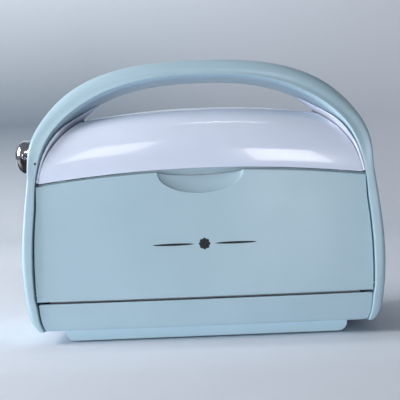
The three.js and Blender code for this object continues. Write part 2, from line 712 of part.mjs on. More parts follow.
const idlerHub = rodX(idlerShaftRadius + 3, planeA + gearWidth - 0.5, planeB + 0.5, 0, idlerZ);
const idlerBore = idlerShaftRadius + gap;
const idler = gear(idlerWheelTeeth, planeA, false, idlerZ, idlerBore)
  .add(gear(idlerPinionTeeth, planeB, true, idlerZ, idlerBore))
  .add(idlerHub)
  .subtract(rodX(idlerBore, -200, 0, 0, idlerZ));
add("idler_gear", idler, "gear");
add("idler_shaft", rodX(idlerShaftRadius, -gearPlateOuter - 1, leftPlateX + 1, 0, idlerZ), "steel");
add("crank_pinion", gear(crankTeeth, planeA, true, crankZ, crankShaftRadius + gap), "gear");

// ---------------------------------------------------------------- crank
const hubInner = archHalfWidth(outerTop, crankZ - hubRadius) + hubStandOff;
const hubTip = hubInner + hubLength;
const hubShoulder = hubTip - hubDome;
const setScrewX = hubInner + setScrewFromInner;
const armInner = Math.max(...legOuter.map(([x]) => x)) + armStandOff;
const knobAxisX = armInner + armThickness + knobStandOff;
const shaftOuter = hubTip - 6;
add("crank_shaft", rodX(crankShaftRadius, -shaftOuter, leftPlateX + bushInset + 1, 0, crankZ), "steel");

function crankHub() {
  const dome = samples(7, (t) => {
    const angle = (t * Math.PI) / 2;
    return [-hubShoulder - (hubTip - hubShoulder) * Math.sin(angle), hubRadius * Math.cos(angle)];
  });
  dome[7][1] = 0;
  const profile = [[-hubInner, 0], [-hubInner, hubRadius - 1.5], [-hubInner - 2, hubRadius], ...dome];
  let body = turnedX(profile, 0, crankZ);
  body = body.subtract(rodX(crankShaftRadius + gap, -shaftOuter - gap, 0, 0, crankZ));
  body = body.subtract(rodY(setScrewRadius + gap, -hubRadius - 1, 0, -setScrewX, crankZ));
  const slotHalf = armHeight / 2 + gap;
  return body.subtract(box(-armInner - armThickness - gap, -armInner + gap, crankShaftRadius + 1.7, 40,
    crankZ - slotHalf, crankZ + slotHalf));
}

function setScrew() {
  const start = setScrewSunk - hubRadius;
  const screw = rodY(setScrewRadius, start, -crankShaftRadius - gap, -setScrewX, crankZ);
  return screw.subtract(rodY(setScrewKey, -hubRadius, start + setScrewKeyDepth, -setScrewX, crankZ, 6));
}

function crankArm() {
  const outer = -armInner - armThickness;
  const half = armHeight / 2;
  const bar = box(outer, -armInner, crankShaftRadius + 2, armReach + 4, crankZ - half, crankZ + half);
  const clevisOuter = -knobAxisX - clevisRadius;
  const [low, high] = [crankZ - half, crankZ + half];
  const cheekRoot = box(-knobAxisX, -armInner, armReach - clevisRadius, armReach + clevisRadius, low, high);
  const cheeks = cheekRoot.add(rodZ(clevisRadius, low, high, -knobAxisX, armReach));
  const eyeRoom = eyeHalfHeight + gap;
  const slotReach = clevisRadius + 1.5;
  const slot = box(clevisOuter - 1, outer - 0.5, armReach - slotReach, armReach + slotReach,
    crankZ - eyeRoom, crankZ + eyeRoom);
  const pinHole = rodZ(knobPinRadius + gap, crankZ - armHeight, crankZ + armHeight, -knobAxisX, armReach, 16);
  return bar.add(cheeks).subtract(slot).subtract(pinHole);
}

const knobInner = armReach - knobStart;
const knobOuter = knobInner - knobLength;
const spindleEnd = knobOuter + 6;

function knobSpindle() {
  const eye = rodZ(6, crankZ - eyeHalfHeight, crankZ + eyeHalfHeight, -knobAxisX, armReach);
  const rod = rodY(spindleRadius, spindleEnd, armReach - 3, -knobAxisX, crankZ);
  return eye.add(rod).subtract(rodZ(knobPinRadius + gap, crankZ - 9, crankZ + 9, -knobAxisX, armReach, 16));
}

function knobGrip() {
  const r = knobRadius;
  const inner = [[0, 0], [0, r - 3.5], [3, r - 2], [14, r - 1.2], [30, r - 0.2]];
  const outer = [[8, r], [3, r - 1.2], [1, r - 3], [1, 0]];
  const profile = [...inner.map(([d, w]) => [knobInner - d, w]),
    ...outer.map(([d, w]) => [knobOuter + d, w])];
  const grip = turnedY(profile, -knobAxisX, crankZ);
  const bore = rodY(spindleRadius + gap, knobOuter - 1, knobInner + 1, -knobAxisX, crankZ);
  const capRoom = rodY(capPlug + gap, knobOuter - 1, spindleEnd - gap, -knobAxisX, crankZ);
  return grip.subtract(bore).subtract(capRoom);
}

const capPlug = 4.4;

function knobCap() {
  const r = knobRadius - 3.2;
  return turnedY([[spindleEnd - 2 * gap, 0], [spindleEnd - 2 * gap, capPlug], [knobOuter + 0.6, capPlug],
    [knobOuter + 0.6, r], [knobOuter - 0.6, r - 0.8], [knobOuter - 1.4, r - 3], [knobOuter - 1.6, 0]],
  -knobAxisX, crankZ);
}

add("crank_hub", crankHub(), "chrome");
add("crank_set_screw", setScrew(), "dark");
add("crank_arm", crankArm(), "chrome");
const pinHalf = armHeight / 2 - 0.4;
add("knob_pivot_pin",
  rodZ(knobPinRadius, crankZ - pinHalf, crankZ + pinHalf, -knobAxisX, armReach, 16), "steel");
add("knob_spindle", knobSpindle(), "steel");
add("knob_grip", knobGrip(), "dark");
add("knob_cap", knobCap(), "dark");

export default machine;
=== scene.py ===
"""Looks of a die cutting machine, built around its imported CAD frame. Metres, +Z up, -Y the front."""

import math

import bmesh
import bpy
from mathutils import Matrix, Vector


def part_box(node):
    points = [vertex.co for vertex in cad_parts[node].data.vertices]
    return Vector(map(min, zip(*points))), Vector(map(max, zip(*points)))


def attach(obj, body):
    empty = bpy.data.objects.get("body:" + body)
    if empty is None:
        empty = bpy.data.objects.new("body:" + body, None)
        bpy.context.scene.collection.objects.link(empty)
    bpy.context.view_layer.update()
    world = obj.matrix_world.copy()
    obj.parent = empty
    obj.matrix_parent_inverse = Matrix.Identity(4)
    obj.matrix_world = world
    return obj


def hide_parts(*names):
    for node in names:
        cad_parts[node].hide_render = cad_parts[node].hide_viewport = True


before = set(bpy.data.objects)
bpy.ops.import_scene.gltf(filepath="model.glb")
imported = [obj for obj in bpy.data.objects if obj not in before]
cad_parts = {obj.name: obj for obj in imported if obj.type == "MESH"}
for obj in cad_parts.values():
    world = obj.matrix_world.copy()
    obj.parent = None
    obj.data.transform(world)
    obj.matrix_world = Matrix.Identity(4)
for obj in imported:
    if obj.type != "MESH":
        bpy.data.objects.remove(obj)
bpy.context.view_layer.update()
scene = bpy.context.scene
MM = 0.001

# ---------------------------------------------------------------- sizes shared with the CAD frame
panel_low, panel_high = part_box("front_platform_panel")
tray_low, tray_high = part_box("base_tray")
arch_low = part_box("handle_arch")[0]
hub_low, hub_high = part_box("crank_hub")

FACE_DEPTH = -panel_low.y
FACE_BULGE = 3 * MM
TAN_LEAN = math.tan(math.radians(9.3))
PANEL_HALF = 149.7 * MM
PANEL_BOTTOM = panel_low.z
PANEL_CROWN = 9.6 * MM
PANEL_CORNER = panel_high.z - PANEL_CROWN  # height of the panel's top edge at its ends
COVER_SEAM = 2 * MM
WALL = 2.5 * MM

BAND_HALF = tray_high.x
BAND_BOTTOM, BAND_TOP = tray_low.z, tray_high.z
BAND_CURVE = [(0, 5 * MM), (0.26, 2.5 * MM), (0.58, 1 * MM), (1, 0)]
BAND_UNDERCUT = 1.6 * MM
BAND_CORNER = 1.1 * MM
BAND_LIP = 1.0 * MM
BAND_FLOOR = BAND_BOTTOM + 3 * MM

LEG_BOTTOM = arch_low.z
INNER = {"a": 150.8 * MM, "b": 115.5 * MM, "n": 2.45, "z": 120 * MM}
OUTER = {"a": 157.8 * MM, "b": 105.5 * MM, "n": 2.6, "z": 150 * MM}
# Half the outer width over the height, and half the depth over the height, in millimetres.
LEG_OUTER = [(10.5, 149.4), (18.5, 155.8), (31, 158.7), (52, 161.8), (84, 163), (118, 161), (150, 157.8)]
DEPTH_KEYS = [(0, 72), (22, 77), (40, 77), (150, 59), (178, 54.4), (215, 31), (243, 26), (270, 26)]
SIDE_BOW = 2 * MM
LINER_THICKNESS = 1.7 * MM
LINER_GAP = 0.3 * MM
LINER_INSET = 3 * MM
LINER_END_X = 96 * MM
LINER_CROWN = 2.6
LINER_SWELL = 5.2 * MM
LINER_SWELL_FROM, LINER_SWELL_TO = 143 * MM, 219 * MM

COVER_RIDGE = 210.9 * MM
COVER_DROP = 11.5 * MM
COVER_DROP_X = 126 * MM
COVER_DROP_POWER = 2.2
COVER_SQUARE = 2.2
COVER_END_GAP = 2.1 * MM
COVER_RIM = 1.6 * MM

SCOOP_HALF = 39 * MM
SCOOP_HEIGHT = 19 * MM
SCOOP_DEPTH = 7 * MM
SCOOP_BELOW_TOP = 1.5 * MM
LIP_DIP = 4 * MM


def bulge(x):
    return FACE_BULGE * (x / PANEL_HALF) ** 2


def face_y(x, z):
    return FACE_DEPTH - bulge(x) - (z - PANEL_BOTTOM) * TAN_LEAN


def panel_top(x):
    return PANEL_CORNER + PANEL_CROWN * (1 - (x / PANEL_HALF) ** 2)


def side_bow(z):
    share = (z - PANEL_BOTTOM) / (INNER["z"] - PANEL_BOTTOM)
    return 4 * SIDE_BOW * share * (1 - share) if 0 < share < 1 else 0.0


def arch_point(curve, angle, offset=0.0):
    """A point on half a superellipse over the machine, from +X over the top to -X."""
    cos, sin = math.cos(angle), math.sin(angle)
    x = (curve["a"] + offset) * math.copysign(abs(cos) ** (2 / curve["n"]), cos)
    return x, curve["z"] + (curve["b"] + offset) * max(sin, 0) ** (2 / curve["n"])


def arch_half_width(curve, z, offset=0.0):
    if z <= curve["z"]:
        return curve["a"] + offset
    share = min(1, (z - curve["z"]) / (curve["b"] + offset))
    return (curve["a"] + offset) * (1 - share ** curve["n"]) ** (1 / curve["n"])


def smooth_table(keys, at):
    """Catmull-Rom through (position, value) pairs."""
    def slope(a, b):
        return (keys[b][1] - keys[a][1]) / (keys[b][0] - keys[a][0])

    at = min(max(at, keys[0][0]), keys[-1][0])
    i = max(k for k in range(len(keys) - 1) if keys[k][0] <= at)
    x0, x1 = keys[i][0], keys[i + 1][0]
    here = slope(i, i + 1)
    m0 = here if i == 0 else (slope(i - 1, i) + here) / 2
    m1 = here if i + 2 == len(keys) else (slope(i + 1, i + 2) + here) / 2
    t, w = (at - x0) / (x1 - x0), x1 - x0
    return ((2 * t ** 3 - 3 * t ** 2 + 1) * keys[i][1] + (t ** 3 - 2 * t ** 2 + t) * m0 * w
            + (3 * t ** 2 - 2 * t ** 3) * keys[i + 1][1] + (t ** 3 - t ** 2) * m1 * w)


def half_depth(z):
    return smooth_table(DEPTH_KEYS, z / MM) * MM


def mix(a, b, t):
    return a + (b - a) * t


def smoothstep(t):
    t = min(max(t, 0), 1)
    return t * t * (3 - 2 * t)


# ---------------------------------------------------------------- materials
def linear(r, g, b):
    """sRGB 0-255 to linear."""
    return tuple(((c / 255 + 0.055) / 1.055) ** 2.4 if c > 10 else c / 255 / 12.92 for c in (r, g, b)) + (1,)


class Nodes:
    """Short calls for building one material's nodes."""

    def __init__(self, name, metal=0.0):
        self.material = bpy.data.materials.new(name)
        self.material.use_nodes = True
        self.tree = self.material.node_tree
        self.shader = self.tree.nodes["Principled BSDF"]
        self.shader.inputs["Metallic"].default_value = metal
        self.place = self.new("ShaderNodeTexCoord").outputs["Object"]

    def new(self, kind):
        return self.tree.nodes.new(kind)

    def link(self, a, b):
        self.tree.links.new(a, b)

    def set(self, **values):
        for key, value in values.items():
            self.shader.inputs[key.replace("_", " ")].default_value = value

    def noise(self, scale, detail=3.0, stretch=None, rough=0.5):
        node = self.new("ShaderNodeTexNoise")
        node.inputs["Scale"].default_value = scale
        node.inputs["Detail"].default_value = detail
        node.inputs["Roughness"].default_value = rough
        place = self.place
        if stretch:
            mapping = self.new("ShaderNodeMapping")
            mapping.inputs["Scale"].default_value = stretch
            self.link(place, mapping.inputs["Vector"])
            place = mapping.outputs["Vector"]
        self.link(place, node.inputs["Vector"])
        return node.outputs["Fac"]

    def ramp(self, value, low, high, at=(0.35, 0.65)):
        node = self.new("ShaderNodeValToRGB")
        for element, position, color in zip(node.color_ramp.elements, at, (low, high)):
            element.position, element.color = position, color
        self.link(value, node.inputs["Fac"])
        return node.outputs["Color"]

    def span(self, value, low, high, start=0.3, end=0.7):
        node = self.new("ShaderNodeMapRange")
        for key, number in (("From Min", start), ("From Max", end), ("To Min", low), ("To Max", high)):
            node.inputs[key].default_value = number
        self.link(value, node.inputs["Value"])
        return node.outputs["Result"]

    def blend(self, factor, a, b):
        node = self.new("ShaderNodeMix")
        node.data_type = "RGBA"
        self.link(factor, node.inputs["Factor"])
        for socket, value in ((node.inputs[6], a), (node.inputs[7], b)):
            if isinstance(value, tuple):
                socket.default_value = value
            else:
                self.link(value, socket)
        return node.outputs[2]

    def bump(self, height, strength, distance):
        node = self.new("ShaderNodeBump")
        node.inputs["Strength"].default_value = strength
        node.inputs["Distance"].default_value = distance
        self.link(height, node.inputs["Height"])
        self.link(node.outputs["Normal"], self.shader.inputs["Normal"])

    def color(self, socket):
        self.link(socket, self.shader.inputs["Base Color"])

    def roughness(self, socket):
        self.link(socket, self.shader.inputs["Roughness"])


def shade(color, factor):
    return tuple(c * factor for c in color[:3]) + (1,)


def moulded(name, color, rough, coat=0.0, coat_rough=0.1, texture=0.06):
    """Injection-moulded plastic: faint flow clouding, fine skin texture and a few handling smudges."""
    n = Nodes(name)
    cloud = n.noise(9.0, 4.0)
    speck = n.noise(260.0, 2.0)
    clouded = n.ramp(cloud, shade(color, 0.965), shade(color, 1.03))
    n.color(n.blend(n.span(speck, 0.0, 0.12), clouded, shade(color, 0.94)))
    smudge = n.noise(22.0, 5.0, rough=0.62)
    n.roughness(n.span(smudge, rough * 0.88, rough * 1.16))
    n.bump(n.noise(1400.0, 2.0), texture, 0.0002)
    n.set(Coat_Weight=coat, Coat_Roughness=coat_rough, IOR=1.5)
    return n.material


def brushed(name, color, rough, stretch):
    """Drawn or turned metal: fine lines along one axis and slightly uneven tone."""
    n = Nodes(name, metal=1.0)
    lines = n.noise(900.0, 3.0, stretch)
    n.color(n.ramp(lines, shade(color, 0.82), shade(color, 1.08)))
    n.roughness(n.span(n.noise(60.0, 4.0, stretch), rough * 0.7, rough * 1.35))
    n.bump(lines, 0.12, 0.0001)
    return n.material


def plated(name, color):
    """Chrome plate: almost mirror bright, with faint pitting and wipe marks."""
    n = Nodes(name, metal=1.0)
    n.color(n.ramp(n.noise(35.0, 4.0), shade(color, 0.93), shade(color, 1.0)))
    n.roughness(n.span(n.noise(120.0, 5.0, rough=0.7), 0.03, 0.13))
    n.bump(n.noise(320.0, 3.0), 0.03, 0.0001)
    return n.material


def oiled_gear(name, color):
    """Sintered gear steel with an uneven film of oil."""
    n = Nodes(name, metal=1.0)
    oil = n.noise(40.0, 5.0)
    n.color(n.ramp(oil, shade(color, 0.7), shade(color, 1.12)))
    n.roughness(n.span(oil, 0.24, 0.5))
    n.bump(n.noise(1800.0, 2.0), 0.2, 0.0001)
    return n.material


def rubber(name, color):
    """Soft rubber, matt and a little dusty."""
    n = Nodes(name)
    dust = n.noise(70.0, 5.0)
    n.color(n.ramp(dust, color, shade(color, 1.7), at=(0.45, 0.85)))
    n.roughness(n.span(dust, 0.62, 0.86))
    n.bump(n.noise(1100.0, 3.0), 0.3, 0.0002)
    return n.material


MINT = linear(174, 201, 215)
WHITE = linear(221, 230, 250)
INNER_WHITE = linear(214, 221, 228)

looks = {
    "mint_shell": moulded("mint_shell_look", MINT, 0.34, coat=0.12, coat_rough=0.22),
    # painted light: the plinth uses the shell's mint lightened 1.22 times, standing in for light bounced up
    # from the floor onto its front
    "mint_plinth_painted_bounce": moulded("mint_plinth_painted_bounce_look", shade(MINT, 1.22), 0.34, coat=0.12, coat_rough=0.22),
    "white_cover": moulded("white_cover_look", WHITE, 0.16, coat=0.6, coat_rough=0.03, texture=0.0),
    "inner_plastic": moulded("inner_plastic_look", INNER_WHITE, 0.42, texture=0.14),
    "steel": brushed("steel_look", linear(158, 162, 168), 0.34, (1, 14, 14)),
    "chrome": plated("chrome_look", linear(226, 228, 231)),
    "brass": brushed("brass_look", linear(190, 150, 86), 0.32, (14, 1, 1)),
    "gear_steel": oiled_gear("gear_steel_look", linear(118, 124, 130)),
    "rubber": rubber("rubber_look", linear(38, 39, 42)),
    "dark_plastic": moulded("dark_plastic_look", linear(46, 49, 54), 0.4, texture=0.2),
    "ink": moulded("printed_ink_look", linear(30, 38, 46), 0.5, texture=0.02),
}


# ---------------------------------------------------------------- mesh helpers
def place_mesh(name, bm, look, body, replaces=(), sharp=35.0):
    """Turns bm into a smooth-shaded piece that rides on a body."""
    bmesh.ops.recalc_face_normals(bm, faces=bm.faces)
    limit = math.radians(sharp)
    for edge in bm.edges:
        if len(edge.link_faces) == 2 and edge.calc_face_angle(0) > limit:
            edge.smooth = False
    for face in bm.faces:
        face.smooth = True
    mesh = bpy.data.meshes.new(name)
    bm.to_mesh(mesh)
    bm.free()
    mesh.materials.append(looks[look])
    obj = bpy.data.objects.new(name, mesh)
    scene.collection.objects.link(obj)
    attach(obj, body)
    if replaces:
        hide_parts(*replaces)
    return obj


def round_edges(obj, width, segments, angle):
    """Rounds the edges that turn by more than the angle, in degrees, and evens the normals beside them."""
    bevel = obj.modifiers.new("edges", "BEVEL")
    bevel.width = width
    bevel.segments = segments
    bevel.limit_method = "ANGLE"
    bevel.angle_limit = math.radians(angle)
    bevel.harden_normals = False
    bevel.use_clamp_overlap = True
    weighted = obj.modifiers.new("normals", "WEIGHTED_NORMAL")
    weighted.keep_sharp = False
    weighted.weight = 60


def ring_loft(rings):
    """A closed skin over rings of points that all have the same count."""
    bm = bmesh.new()
    rows = [[bm.verts.new(p) for p in ring] for ring in rings]
    for low, high in zip(rows, rows[1:]):
        for i in range(len(low)):
            j = (i + 1) % len(low)
            bm.faces.new((low[i], low[j], high[j], high[i]))
    bm.faces.new(reversed(rows[0]))
    bm.faces.new(rows[-1])
    return bm


def two_layer(front, back):
    """A closed skin between two grids of points with the same rows and columns."""
    bm = bmesh.new()
    layers = [[[bm.verts.new(p) for p in column] for column in grid] for grid in (front, back)]
    columns, rows = len(front), len(front[0])
    for k, layer in enumerate(layers):
        for i in range(columns - 1):
            for j in range(rows - 1):
                quad = (layer[i][j], layer[i + 1][j], layer[i + 1][j + 1], layer[i][j + 1])
                bm.faces.new(quad if k == 0 else tuple(reversed(quad)))
    border = ([(i, 0) for i in range(columns)]
              + [(columns - 1, j) for j in range(1, rows)]
              + [(i, rows - 1) for i in range(columns - 2, -1, -1)]
              + [(0, j) for j in range(rows - 2, 0, -1)])
    for (i, j), (p, q) in zip(border, border[1:] + border[:1]):
        bm.faces.new((layers[0][p][q], layers[0][i][j], layers[1][i][j], layers[1][p][q]))
    return bm


def lathe(profile, axis_point, turn, steps):
    """Turned piece from (along, radius) pairs; turn maps local (x, y, z) with X along the axis."""
    rings = []
    for along, radius in profile:
        ring = []
        for k in range(steps):
            angle = 2 * math.pi * k / steps
            local = Vector((along, radius * math.cos(angle), radius * math.sin(angle)))
            ring.append(turn @ local + axis_point)
        rings.append(ring)
    return ring_loft(rings)


# ---------------------------------------------------------------- handle arch and liners
LEG_STATIONS = 22
LEG_SPACING = 1.25  # above 1, the leg's stations crowd towards its foot
ARCH_STATIONS = 132
ARCH_ROUNDING = 0.8  # power that squares the rounding of the arch's outer edge
BEVEL_LEG, BEVEL_ARCH = 0.9 * MM, 5.4 * MM
BELLY_RISE = 2.2 * MM
FACE_SLANT = 4 * MM  # how far the arch's face falls back towards its outer edge
BEVEL_SPREAD = (132 * MM, 198 * MM)  # heights between which the inner bevel opens


def leg_inner_x(z):
    """The leg's inner edge, which steps in from the band's shape to the panel's."""
    if z >= PANEL_BOTTOM:
        return INNER["a"] + side_bow(z)
    share = (z - BAND_BOTTOM) / (BAND_TOP - BAND_BOTTOM)
    band = BAND_HALF + 0.4 * MM - smooth_table(BAND_CURVE, share)
    return mix(band, INNER["a"], smoothstep((z - BAND_TOP + 0.5 * MM) / (PANEL_BOTTOM - BAND_TOP)))


def arch_stations():
    """(inner point, outer point) pairs in X and Z, from the foot of the right leg to that of the left."""
    leg = []
    for k in range(LEG_STATIONS):
        share = k / LEG_STATIONS
        z_in = mix(LEG_BOTTOM, INNER["z"], share ** LEG_SPACING)
        z_out = mix(LEG_BOTTOM, OUTER["z"], share ** LEG_SPACING)
        leg.append(((leg_inner_x(z_in), z_in), (smooth_table(LEG_OUTER, z_out / MM) * MM, z_out)))
    over = []
    for k in range(ARCH_STATIONS + 1):
        angle = math.pi * k / ARCH_STATIONS
        over.append((arch_point(INNER, angle), arch_point(OUTER, angle)))
    left = [((-a[0], a[1]), (-b[0], b[1])) for a, b in reversed(leg)]
    return leg + over + left


def arch_section(inner, outer):
    """A closed ring round the arch: crease near the inner edge, softly rounded outer edge."""
    (xi, zi), (xo, zo) = inner, outer
    thick = math.hypot(xo - xi, zo - zi)
    opening = smoothstep((zi - BEVEL_SPREAD[0]) / (BEVEL_SPREAD[1] - BEVEL_SPREAD[0]))
    bevel = mix(BEVEL_LEG, BEVEL_ARCH, opening)
    fall = mix(0.8 * MM, 4.6 * MM, opening)
    hollow = 0.9 * MM * opening
    radius = min(mix(8.5, 11, opening) * MM, thick - bevel - 1 * MM)
    half = []
    crease = bevel / thick
    rise = BELLY_RISE * opening / thick
    middle = half_depth(zi)
    for share in (0.0, 0.25, 0.5, 0.75):
        half.append((rise * share ** 2, mix(middle, fall + 1.2 * MM, share)))
    for along, back in ((0, fall + 1.2 * MM), (0.06, fall + 0.5 * MM), (0.35, fall * 0.62),
                        (0.8, fall * 0.16), (0.96, 0.02 * MM), (1.08, 0.0)):
        half.append((mix(rise, crease, along), back))
    start = 1 - radius / thick
    ridge = crease * 1.08
    slant = FACE_SLANT * opening / (1 - ridge)
    for t in (0.3, 0.65):
        across = mix(ridge, start, t)
        half.append((across, hollow * math.sin(math.pi * min(t * 1.2, 1)) + slant * (across - ridge)))
    for k in range(11):
        angle = math.pi / 2 * k / 10
        across = start + (1 - start) * math.sin(angle) ** ARCH_ROUNDING
        half.append((across, radius * (1 - math.cos(angle) ** ARCH_ROUNDING) + slant * (across - ridge)))
    ring = []
    for side, points in ((-1, half), (1, half[:0:-1])):
        for across, back in points:
            x, z = mix(xi, xo, across), mix(zi, zo, across)
            ring.append((x, side * (half_depth(z) - back), z))
    return ring


def handle_arch():
    """Carrying handle and both legs in one skin, with softly tucked feet."""
    rings = [arch_section(inner, outer) for inner, outer in arch_stations()]
    for end, neighbour in ((0, 1), (-1, -2)):
        middle = sum((Vector(p) for p in rings[end]), Vector()) / len(rings[end])
        lift = (Vector(rings[neighbour][0]) - Vector(rings[end][0])) * 0.35
        tucked = [tuple(middle + (Vector(p) - middle) * 0.93) for p in rings[end]]
        raised = [tuple(Vector(p) + lift) for p in rings[end]]
        rings[end] = raised
        rings.insert(0, tucked) if end == 0 else rings.append(tucked)
    place_mesh("handle_arch_shell", ring_loft(rings), "mint_shell", "root", ["handle_arch"])


def liner_swell(z):
    """How far the liner's middle stands in from the arch, so that it closes against the cover's ends."""
    share = (z - LINER_SWELL_FROM) / (LINER_SWELL_TO - LINER_SWELL_FROM)
    return LINER_SWELL * math.sin(math.pi * min(max(share, 0), 1)) ** 0.8


def handle_liner(side):
    """White cheek that lines the arch beside the top cover, crowned from front to rear."""
    bottom = panel_top(PANEL_HALF) + COVER_SEAM
    steps, across = 64, 24
    full = 400
    last = next(k for k in range(full) if abs(arch_point(INNER, math.pi / 2 * k / full)[0]) < LINER_END_X)
    rings = []
    for k in range(steps + 1):
        angle = math.pi / 2 * (last / full) * k / steps
        xa, za = arch_point(INNER, angle, -LINER_GAP)
        if za < bottom:
            continue
        end = smoothstep((steps - k) / (0.42 * steps))
        thick = LINER_THICKNESS * mix(0.12, 1, end)
        xb, zb = arch_point(INNER, angle, -LINER_GAP - thick)
        swell = liner_swell(za) * (xb - xa) / thick, liner_swell(za) * (zb - za) / thick
        reach = mix(2 * MM, half_depth(za) - LINER_INSET, end)
        ring = [(side * xa, -reach, za)]
        for j in range(across + 1):
            share = 2 * j / across - 1
            crown = 1 - abs(share) ** LINER_CROWN
            ring.append((side * (xb + swell[0] * crown), reach * share, zb + swell[1] * crown))
        ring.append((side * xa, reach, za))
        rings.append(ring)
    side_name = "right" if side > 0 else "left"
    place_mesh("arch_liner_" + side_name, ring_loft(rings), "white_cover", "root",
               ["handle_liner_" + side_name], sharp=50)


handle_arch()
handle_liner(1)
handle_liner(-1)


# ---------------------------------------------------------------- top cover
COVER_COLUMNS, COVER_ROWS = 97, 73
COVER_EDGE = 0.7 * MM


def cover_ridge(x):
    return COVER_RIDGE - COVER_DROP * (abs(x) / COVER_DROP_X) ** COVER_DROP_POWER


def cover_point(x, angle, inset):
    """Y and Z on the cover's section at x; the angle runs from the front edge over the ridge to the rear."""
    bottom = panel_top(x) + COVER_SEAM
    depth = face_y(x, bottom) - inset
    height = cover_ridge(x) - inset - bottom
    cos, sin = math.cos(angle), math.sin(angle)
    y = -math.copysign(depth * abs(cos) ** (2 / COVER_SQUARE), cos)
    return y, bottom + height * max(sin, 0) ** (2 / COVER_SQUARE)


def cover_reach(angle, inset):
    """Where a cover line meets the arch's inner curve."""
    low, high = 0.0, PANEL_HALF
    for _ in range(30):
        x = (low + high) / 2
        y, z = cover_point(x, angle, inset)
        crown = 1 - min(abs(y) / half_depth(z), 1) ** LINER_CROWN
        end_gap = COVER_END_GAP + inset + liner_swell(z) * crown
        inside = x < arch_half_width(INNER, z, -end_gap)
        low, high = (x, high) if inside else (low, x)
    return low


def cover_layer(inset):
    """A grid of points over the cover, with its columns closer together towards the ends."""
    angles = [math.pi * j / (COVER_ROWS - 1) for j in range(COVER_ROWS)]
    reaches = [cover_reach(angle, inset) for angle in angles]
    grid = []
    for i in range(COVER_COLUMNS):
        share = 2 * i / (COVER_COLUMNS - 1) - 1
        share = share * (1.25 - 0.25 * share * share)
        column = []
        for angle, reach in zip(angles, reaches):
            x = share * reach
            y, z = cover_point(x, angle, inset)
            column.append((x, y, z))
        grid.append(column)
    return grid


def top_cover():
    """White dome between the arch's liners, open underneath."""
    bm = two_layer(cover_layer(0.0), cover_layer(COVER_RIM))
    cover = place_mesh("top_cover_dome", bm, "white_cover", "root", ["top_cover"], sharp=50)
    round_edges(cover, COVER_EDGE, 3, 50)


top_cover()


# ---------------------------------------------------------------- folding platforms
EDGE_RADIUS = 1.1 * MM
EDGE_STEPS = (0, 0.1, 0.3, 0.6)  # shares of the edge radius where a soft edge has its points
SCOOP_WALL = 2 * MM
SCOOP_MIDDLE = panel_top(0) - SCOOP_BELOW_TOP
RIDGE_BACK = 10.2 * MM  # stop ridge behind the top edge, under the cover's rim
RIDGE_THICK = 1 * MM
RIDGE_RISE = 1.5 * MM


def scoop_columns():
    """X places of the panel's columns, closer together across the scoop and at the sides."""
    inside = [SCOOP_HALF * math.sin(math.pi / 2 * k / 24) for k in range(25)]
    span = PANEL_HALF - EDGE_RADIUS - SCOOP_HALF
    outside = [SCOOP_HALF + span * (k / 26) for k in range(1, 27)]
    edge = [PANEL_HALF - EDGE_RADIUS * e for e in reversed(EDGE_STEPS)]
    right = inside + outside + edge
    return [-x for x in reversed(right[1:])] + right


def lip_top(x):
    """The panel's top edge, which dips in the middle above the scoop."""
    share = min(abs(x) / SCOOP_HALF, 1)
    return panel_top(x) - LIP_DIP * (1 - share * share) ** 0.85


def scoop_rim(x):
    """Height of the scoop's lower rim, or a height just under the top edge beside it."""
    share = min(abs(x) / SCOOP_HALF, 1)
    rim = SCOOP_MIDDLE - SCOOP_HEIGHT * math.sqrt(1 - share * share)
    return min(rim, panel_top(x) - 2.2 * EDGE_RADIUS)


def scoop_hollow(x, z, grow=0.0):
    """How deep the scoop, part of an ellipsoid, goes in at a place; grow makes it larger all round."""
    a, b, depth = SCOOP_HALF + grow, SCOOP_HEIGHT + grow, SCOOP_DEPTH + grow
    inside = 1 - (x / a) ** 2 - ((z - SCOOP_MIDDLE) / b) ** 2
    return depth * math.sqrt(inside) if inside > 0 else 0.0


def edge_fall(distance):
    """How far the rounded edge falls back at a distance from the outline."""
    if distance >= EDGE_RADIUS:
        return 0.0
    return EDGE_RADIUS - math.sqrt(EDGE_RADIUS ** 2 - (EDGE_RADIUS - distance) ** 2)


def panel_column_heights(x):
    """Heights up one column: soft bottom edge, plain face, scoop from its rim, soft top edge."""
    rim, top = scoop_rim(x), lip_top(x)
    low = [PANEL_BOTTOM + EDGE_RADIUS * e for e in EDGE_STEPS]
    face = [mix(PANEL_BOTTOM + EDGE_RADIUS, rim, k / 30) for k in range(31)]
    scoop = [mix(rim, top - EDGE_RADIUS, 1 - math.cos(math.pi / 2 * k / 16)) for k in range(1, 17)]
    high = [top - EDGE_RADIUS * e for e in reversed(EDGE_STEPS)]
    return low + face + scoop + high


def platform_panel(face, turn):
    """Outer skin of a folding platform, with its scoop and stop ridge; turn is -1 for the rear one."""
    front, back = [], []
    for x in scoop_columns():
        front_column, back_column = [], []
        heights = panel_column_heights(x)
        for z in heights:
            margin = min(PANEL_HALF - abs(x), z - PANEL_BOTTOM, lip_top(x) - z)
            wide = x * (1 + side_bow(z) / PANEL_HALF)
            hollow = scoop_hollow(x, z)
            y = -face_y(x, z) + hollow + edge_fall(max(margin, 0))
            behind = -face_y(x, z) + max(WALL, scoop_hollow(x, z, SCOOP_WALL))
            under = RIDGE_THICK * smoothstep(1 - (heights[-1] - z) / (2 * MM))
            front_column.append((turn * wide, turn * y, z))
            back_column.append((turn * wide, turn * behind, z - under))
        ledge = -face_y(x, heights[-1]) + RIDGE_BACK
        for z, under in ((heights[-1], RIDGE_THICK), (panel_top(x) + RIDGE_RISE, 0)):
            front_column.append((turn * wide, turn * (ledge - RIDGE_THICK), z))
            back_column.append((turn * wide, turn * ledge, z - under))
        front.append(front_column)
        back.append(back_column)
    panel = place_mesh(face + "_platform_skin", two_layer(front, back), "mint_shell", face + "_platform",
                       [face + "_platform_panel"], sharp=38)
    round_edges(panel, 0.35 * MM, 2, 38)


platform_panel("front", 1)
platform_panel("rear", -1)


